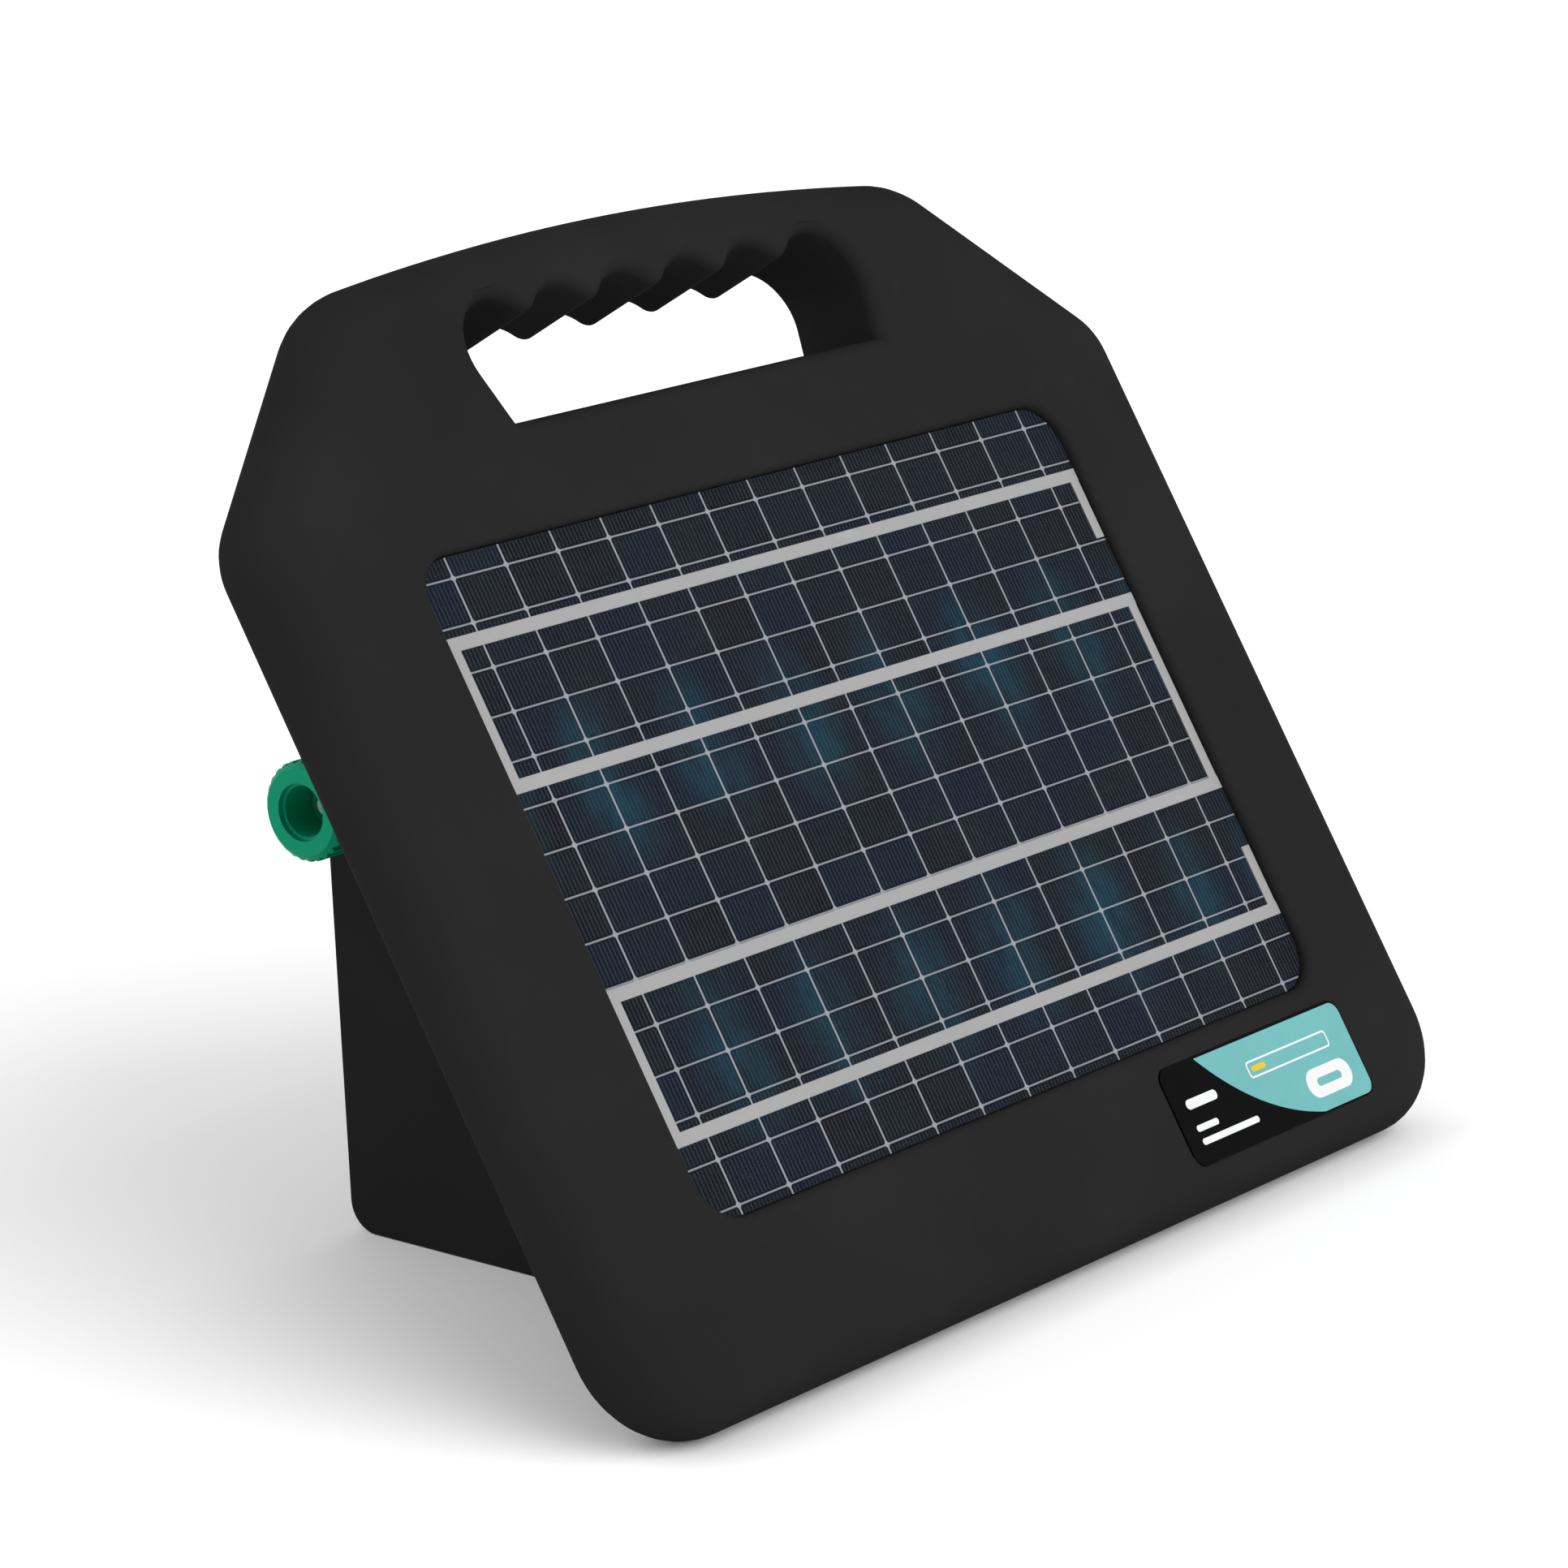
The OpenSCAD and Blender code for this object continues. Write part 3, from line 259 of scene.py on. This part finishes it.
def glossy(name, colour, rough=(0.16, 0.26), spread=0.06, specular=0.5, alpha=None):
    """Smooth plastic, lacquer or print, with a faint unevenness."""
    g = Graph(name)
    broad = g.noise(90.0, 3.0)
    fine = g.noise(900.0, 2.0)
    g.out("Base Color", g.mix(g.ramp(broad, 0.3, 0.7), shade(colour, 1 - spread), shade(colour, 1 + spread)))
    g.out("Roughness", g.ramp(fine, 0.3, 0.7, *rough))
    g.out("Specular IOR Level", specular)
    if alpha is not None:
        g.out("Alpha", alpha)
    g.bump(fine, 0.05, 0.0001)
    return g.material


def winding_material():
    """Taped copper: wound turns show as fine ridges."""
    g = Graph("winding")
    wave = g.tree.nodes.new("ShaderNodeTexWave")
    wave.bands_direction = "Z"
    g.set(wave.inputs["Vector"], g.coords)
    wave.inputs["Scale"].default_value = 330.0
    wave.inputs["Distortion"].default_value = 0.6
    turns = wave.outputs["Fac"]
    g.out("Base Color", g.mix(turns, (0.16, 0.045, 0.012), (0.52, 0.19, 0.055)))
    g.out("Roughness", g.ramp(g.noise(500.0), 0.3, 0.7, 0.25, 0.4))
    g.bump(turns, 0.5, 0.0002)
    return g.material


BLACK = (0.0141, 0.0141, 0.0142)
MATERIALS = {
    "case_black": moulded("case_black", BLACK, (0.52, 0.64), specular=0.001),
    "rubber_black": moulded("rubber_black", (0.012, 0.012, 0.012), (0.7, 0.85), 900.0, 0.2),
    "brass_insert": metal("brass_insert", (0.62, 0.42, 0.16)),
    "steel_screw": metal("steel_screw", (0.60, 0.60, 0.61)),
    "panel_film": film_material(),
    "ribbon_silver": moulded("ribbon_silver", (0.330, 0.330, 0.330), (0.45, 0.6), 700.0, 0.1, 0.04),
    "cell_blue": solar_material(),
    "panel_backing": moulded("panel_backing", (0.62, 0.62, 0.60), (0.5, 0.65)),
    "junction_black": moulded("junction_black", (0.02, 0.02, 0.021), (0.35, 0.5)),
    "lead_black": moulded("lead_black", (0.014, 0.014, 0.014), (0.4, 0.55), 1100.0),
    "label_teal": glossy("label_black", (0.0011, 0.0011, 0.0013), (0.3, 0.42), 0.2, 0.03),
    "battery_case": moulded("battery_case", (0.035, 0.036, 0.04), (0.4, 0.55)),
    "tab_brass": metal("tab_brass", (0.66, 0.58, 0.42)),
    "lead_red": moulded("lead_red", (0.42, 0.015, 0.012), (0.35, 0.5), 1100.0),
    "tray_grey": moulded("tray_grey", (0.07, 0.075, 0.08)),
    "board_green": glossy("board_green", (0.008, 0.10, 0.035), (0.2, 0.35), 0.2),
    "core_steel": metal("core_steel", (0.14, 0.13, 0.12), (0.4, 0.6), (1.0, 1.0, 12.0)),
    "winding_copper": winding_material(),
    "capacitor_blue": glossy("capacitor_blue", (0.02, 0.05, 0.2)),
    "heatsink": metal("heatsink", (0.52, 0.53, 0.55), (0.3, 0.45), (1.0, 1.0, 0.1)),
    "connector_white": moulded("connector_white", (0.72, 0.71, 0.66), (0.4, 0.5)),
    "led_green": glossy("led_green", (0.04, 0.5, 0.10), (0.1, 0.2)),
    "pipe_clear": glossy("pipe_clear", (0.62, 0.74, 0.68), (0.08, 0.18), 0.03, 0.5, 0.7),
    "bolt_steel": metal("bolt_steel", (0.62, 0.62, 0.63)),
    "knob_green": moulded("knob_green", (0.0004, 0.235, 0.118), (0.36, 0.5), 1300.0, 0.1, 0.08, 0.06),
    "lead_green": moulded("lead_green", (0.0, 0.20, 0.08), (0.35, 0.5), 1100.0),
    "knob_red": moulded("knob_red", (0.42, 0.012, 0.010), (0.36, 0.5), 1300.0, 0.1, 0.08, 0.06),
    "rocker_grey": moulded("rocker_grey", (0.03, 0.03, 0.032), (0.3, 0.42)),
}
TEAL = glossy("print_teal", (0.108, 0.310, 0.316), (0.3, 0.4), 0.04, 0.12)
WHITE = glossy("print_white", (0.56, 0.57, 0.57), (0.3, 0.4), 0.02, 0.25)
YELLOW = glossy("print_yellow", (0.50, 0.36, 0.01), (0.3, 0.4), 0.04, 0.25)


# ---------- mesh building ----------

STRENGTH, STRONG_FACE = "__mod_weightednormals_faceweight", 16384


def finish_mesh(name, bm, material, sharp=40.0, body=BODY):
    """Turns built geometry into a piece that rides on a body."""
    bmesh.ops.remove_doubles(bm, verts=bm.verts, dist=1e-7)
    bmesh.ops.recalc_face_normals(bm, faces=bm.faces)
    for f in bm.faces:
        f.smooth = True
    limit = math.radians(sharp)
    for e in bm.edges:
        e.smooth = len(e.link_faces) == 2 and e.calc_face_angle(0.0) < limit
    mesh = bpy.data.meshes.new(name)
    bm.to_mesh(mesh)
    bm.free()
    mesh.materials.append(material)
    obj = bpy.data.objects.new(name, mesh)
    bpy.context.scene.collection.objects.link(obj)
    weighted = obj.modifiers.new("weighted", "WEIGHTED_NORMAL")
    weighted.keep_sharp, weighted.use_face_influence, weighted.weight = True, True, 90
    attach(obj, body)
    return obj


def arc(cx, cy, r, a0, a1, steps):
    """Points along an arc, ends included."""
    return [(cx + r * math.cos(math.radians(a0 + (a1 - a0) * i / steps)),
             cy + r * math.sin(math.radians(a0 + (a1 - a0) * i / steps))) for i in range(steps + 1)]


def strip(bm, rows, closed=True):
    """Joins rings of points, row to row."""
    made = [[bm.verts.new(p) for p in row] for row in rows]
    n = len(rows[0])
    for a, b in zip(made, made[1:]):
        for i in range(n if closed else n - 1):
            j = (i + 1) % n
            bm.faces.new((a[i], a[j], b[j], b[i]))
    return made


def fill(bm, loops, n):
    """A flat face on the housing with holes: the first loop is its edge."""
    flat = [[Vector((x, v, 0.0)) for x, v in loop] for loop in loops]
    verts = [bm.verts.new(slab(p.x, p.y, n)) for loop in flat for p in loop]
    strength = bm.faces.layers.int.get(STRENGTH) or bm.faces.layers.int.new(STRENGTH)
    for tri in tessellate_polygon(flat):
        if len(set(tri)) == 3:
            bm.faces.new([verts[i] for i in tri])[strength] = STRONG_FACE


def top_centre(x):
    """How high the centre of a shoulder's rounding lies at x, to touch the crown."""
    return HEIGHT - TOP_ARC + math.sqrt((TOP_ARC - SHOULDER_R) ** 2 - x * x)


def rim_stations():
    """Points round the housing's plan with their outward directions, anticlockwise."""
    foot, side = (HALF_W - FOOT_R, FOOT_R), (HALF_W - SIDE_R, SIDE_V)
    shoulder = (SHOULDER_X, top_centre(SHOULDER_X))
    gap = (shoulder[0] - side[0], shoulder[1] - side[1])
    lean = math.degrees(math.acos((SHOULDER_R - SIDE_R) / math.hypot(*gap)))
    slope = lean - math.degrees(math.atan2(gap[1], -gap[0]))
    top = 90 - math.degrees(math.asin(SHOULDER_X / (TOP_ARC - SHOULDER_R)))
    right = []
    for c, r, a0, a1, steps in ((foot, FOOT_R, -90.0, 0.0, 14), (side, SIDE_R, 0.0, slope, 8),
                                (shoulder, SHOULDER_R, slope, top, 8)):
        right += [(c, r, a0 + (a1 - a0) * i / steps) for i in range(steps + 1)]
    crown = [((0.0, HEIGHT - TOP_ARC), TOP_ARC, top + (180 - 2 * top) * i / 28) for i in range(1, 28)]
    left = [((-c[0], c[1]), r, 180 - a) for c, r, a in reversed(right)]
    out = []
    for c, r, a in right + crown + left:
        d = (math.cos(math.radians(a)), math.sin(math.radians(a)))
        out.append(((c[0] + r * d[0], c[1] + r * d[1]), d))
    return out


def quarter(r, steps):
    """Sine and cosine legs of a quarter circle of radius r."""
    return [(math.sin(math.pi / 2 * i / steps) * r, math.cos(math.pi / 2 * i / steps) * r) for i in range(steps + 1)]


def rounded_box(cx, cv, w, h, r, steps=10):
    """A rectangle's outline with round corners."""
    out = []
    for sx, sv, a in ((1, -1, -90), (1, 1, 0), (-1, 1, 90), (-1, -1, 180)):
        out += arc(cx + sx * (w / 2 - r), cv + sv * (h / 2 - r), r, a, a + 90, steps)
    return out


def finger_hole(g):
    """The hand hole's outline, grown outward by g."""
    pitch, depth, groove_r, groove_top, end_r = 24.95, 5.0, 12.5, 269.5, 14.0
    ridge_r = ((pitch / 2) ** 2 + depth ** 2) / (2 * depth) - groove_r
    groove_v, ridge_v = groove_top - groove_r, groove_top - depth + ridge_r
    lean = math.degrees(math.atan2(ridge_v - groove_v, pitch / 2))
    end_x, end_v, draft = 2.5 * pitch, groove_top - end_r, 17.0
    d = math.radians(draft)
    side = (end_x + (end_r + g) * math.cos(d), end_v - (end_r + g) * math.sin(d))
    floor_v = 238.0 - g
    foot_x = side[0] - (side[1] - floor_v) * math.tan(d)
    out = [(-foot_x + 2 * foot_x * i / 16, floor_v) for i in range(17)]
    out += arc(end_x, end_v, end_r + g, -draft, 90, 14)
    for i in range(5):
        gx = end_x - i * pitch
        out += arc(gx, groove_v, groove_r + g, 90, 180 - lean, 9)
        out += arc(gx - pitch / 2, ridge_v, ridge_r - g, -lean, -180 + lean, 10)
        out += arc(gx - pitch, groove_v, groove_r + g, lean, 90, 9)
    out += arc(-end_x, end_v, end_r + g, 90, 180 + draft, 14)
    # kept a little inside the flat of the face, which ends below the crown
    return [(x, min(v, HEIGHT - TOP_ARC - 0.2 + math.sqrt((TOP_ARC - FRONT_R) ** 2 - x * x))) for x, v in out]


def window_ring(g):
    """The window's outline, grown outward by g."""
    x, v, w, h, r = WINDOW
    return rounded_box(x, v, w + 2 * g, h + 2 * g, r + g, 12)


def label_ring(g):
    """The label's seat, kept to the flat of the face."""
    x, v, w, h, r = LABEL
    ring = rounded_box(x, v, w + 2 * g, h + 2 * g, r + g, 6)
    return [(a, max(b, FRONT_R + 0.2 - 0.2 * g)) for a, b in ring]


def lift(loop, n):
    """A flat loop put at height n on the housing."""
    return [slab(x, v, n) for x, v in loop]


def make_housing():
    """The housing: rounded rim, hand hole, window, label seat and flat faces."""
    bm = bmesh.new()
    stations = rim_stations()

    def ring(inset, n):
        return [slab(p[0] - d[0] * inset, p[1] - d[1] * inset, n) for p, d in stations]

    def flat_ring(inset):
        return [(p[0] - d[0] * inset, p[1] - d[1] * inset) for p, d in stations]

    rows = [ring(FRONT_R - s, c - FRONT_R) for s, c in quarter(FRONT_R, 10)]
    rows += [ring(REAR_R - c, REAR_R - THICK - s) for s, c in quarter(REAR_R, 10)]
    strip(bm, rows)
    # the hand hole, well rounded in front and nearly sharp behind
    soft, rear = 4.0, 0.9
    rows = [lift(finger_hole(soft - s), c - soft) for s, c in quarter(soft, 7)]
    rows += [lift(finger_hole(rear - c), rear - THICK - s) for s, c in quarter(rear, 4)]
    strip(bm, rows)
    # the window's rounded lip, its wall and the tray floor under the panel
    lip = 2.6
    rows = [lift(window_ring(lip - s), (c - lip) * 2.1 / lip) for s, c in quarter(lip, 7)]
    rows.append(lift(window_ring(0.0), TRAY_FLOOR))
    strip(bm, rows)
    fill(bm, [window_ring(0.0)], TRAY_FLOOR)
    # the label's shallow seat
    strip(bm, [lift(label_ring(0.45), 0.0), lift(label_ring(0.2), -0.25), lift(label_ring(0.2), SEAT_FLOOR)])
    fill(bm, [label_ring(0.2)], SEAT_FLOOR)
    fill(bm, [flat_ring(FRONT_R), finger_hole(soft), window_ring(lip), label_ring(0.45)], 0.0)
    fill(bm, [flat_ring(REAR_R), finger_hole(rear)], -THICK)
    obj = finish_mesh("housing_shell", bm, MATERIALS["case_black"], 50.0)
    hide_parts("panel_housing")


def make_film():
    """The clear film, a little clear of the ribbons behind it."""
    bm = bmesh.new()
    rows = [lift(window_ring(-0.5), -2.1), lift(window_ring(-0.35), -2.2), lift(window_ring(-0.35), -2.4)]
    strip(bm, rows)
    fill(bm, [window_ring(-0.5)], -2.1)
    fill(bm, [window_ring(-0.35)], -2.4)
    obj = finish_mesh("film_sheet", bm, MATERIALS["panel_film"], 40.0)
    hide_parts("panel_film")


def inlay(name, loops, material, height=0.05):
    """A thin printed shape on the label; later loops are holes in the first."""
    bm = bmesh.new()
    fill(bm, loops, PRINT_N + height)
    for loop in loops:
        strip(bm, [lift(loop, PRINT_N + height), lift(loop, PRINT_N)])
    return finish_mesh(name, bm, material, 40.0)


def make_label():
    """Generic print: a teal field, a plain badge and plain bars, with no lettering."""
    x0, top = LABEL[0] - LABEL[2] / 2, LABEL[1] + LABEL[3] / 2

    def at(x, down):
        return x0 + x, top - down

    def bar(x, down, w, h, r, steps=6):
        cx, cv = at(x + w / 2, down + h / 2)
        return rounded_box(cx, cv, w, h, min(r, h / 2 - 0.01), steps)

    edge = []
    for i in range(25):
        t = i / 24
        s = 1 - t
        edge.append(at(16.3 * s * s + 66.8 * s * t + 58.1 * t * t, 0.5 * s * s + 41.1 * s * t + 26.0 * t * t))
    right, low, high = at(81.5, 0)[0], at(0, 26.0)[1], at(0, 0.5)[1]
    field = edge + arc(right - 3.3, low + 3.3, 3.3, -90, 0, 8) + arc(right - 3.3, high - 3.3, 3.3, 0, 90, 8)
    badge = bar(55.5, 14.6, 20.0, 7.8, 3.9, 10)
    inlay("label_field", [field], TEAL)
    inlay("label_badge", [badge], WHITE, 0.09)
    inlay("label_badge_bar", [bar(60.0, 17.4, 11.0, 2.2, 1.1)], TEAL, 0.13)
    inlay("label_outline", [bar(35.0, 6.4, 37.0, 4.6, 1.2), bar(35.5, 6.9, 36.0, 3.6, 0.8)], WHITE, 0.09)
    inlay("label_mark", [bar(36.6, 7.9, 6.4, 1.6, 0.8)], YELLOW, 0.09)
    for i, (x, down, w, h) in enumerate(((5.6, 9.4, 13.6, 2.6), (5.6, 16.3, 9.6, 1.7), (5.6, 19.9, 25.4, 1.7))):
        inlay("label_bar_%d" % (i + 1), [bar(x, down, w, h, h / 2)], WHITE)


# ---------- the CAD pieces that show as they are ----------

# edge softening in millimetres
SOFT_EDGES = {"rear_case": 0.9, "socket_lid": 0.3, "switch_rocker": 0.3, "switch_body": 0.25, "earth_knob": 0.25,
              "fence_knob": 0.25, "charge_socket": 0.2}


def dress_cad_nodes():
    """Gives every CAD node its material, and softens the edges that show."""
    slots = {s["node"]: s["material_slot"] for s in frame["record"]["subparts"]}
    for name, obj in frame["nodes"].items():
        obj.data.materials.clear()
        obj.data.materials.append(MATERIALS[slots[name]])
        if name in SOFT_EDGES:
            weld = obj.modifiers.new("weld", "WELD")
            weld.merge_threshold = 1e-6
            soft = obj.modifiers.new("soft", "BEVEL")
            soft.limit_method, soft.angle_limit = "ANGLE", math.radians(35.0)
            soft.width, soft.segments = SOFT_EDGES[name] * MM, 3
            obj.modifiers.new("weighted", "WEIGHTED_NORMAL").weight = 90


# ---------- floor and light ----------

def make_stage():
    """A white floor and world, and two soft suns."""
    bm = bmesh.new()
    bmesh.ops.create_grid(bm, x_segments=8, y_segments=8, size=14.0)
    mesh = bpy.data.meshes.new("floor")
    bm.to_mesh(mesh)
    bm.free()
    floor = bpy.data.objects.new("floor", mesh)
    floor.location.z = -0.0002
    bpy.context.scene.collection.objects.link(floor)
    g = Graph("floor")
    g.out("Base Color", g.mix(g.noise(1.5, 2.0), (0.90, 0.90, 0.90), (0.93, 0.93, 0.93)))
    g.out("Roughness", 0.9)
    g.out("Specular IOR Level", 0.1)
    mesh.materials.append(g.material)
    world = bpy.data.worlds.new("studio")
    world.use_nodes = True
    world.node_tree.nodes["Background"].inputs["Color"].default_value = (1.0, 1.0, 1.0, 1.0)
    world.node_tree.nodes["Background"].inputs["Strength"].default_value = 0.72
    bpy.context.scene.world = world
    for name, energy, heading in (("key", 2.9, (-0.05, 0.85, -0.45)), ("fill", 1.3, (0.55, -0.65, -0.45))):
        data = bpy.data.lights.new(name, "SUN")
        data.energy, data.angle = energy, math.radians(70.0)
        light = bpy.data.objects.new(name, data)
        light.rotation_mode = "QUATERNION"
        light.rotation_quaternion = Vector(heading).to_track_quat("-Z", "Y")
        bpy.context.scene.collection.objects.link(light)
    bpy.context.scene.view_settings.view_transform = "Standard"


make_camera()
dress_cad_nodes()
make_housing()
make_film()
make_label()
make_stage()

bpy.context.view_layer.update()
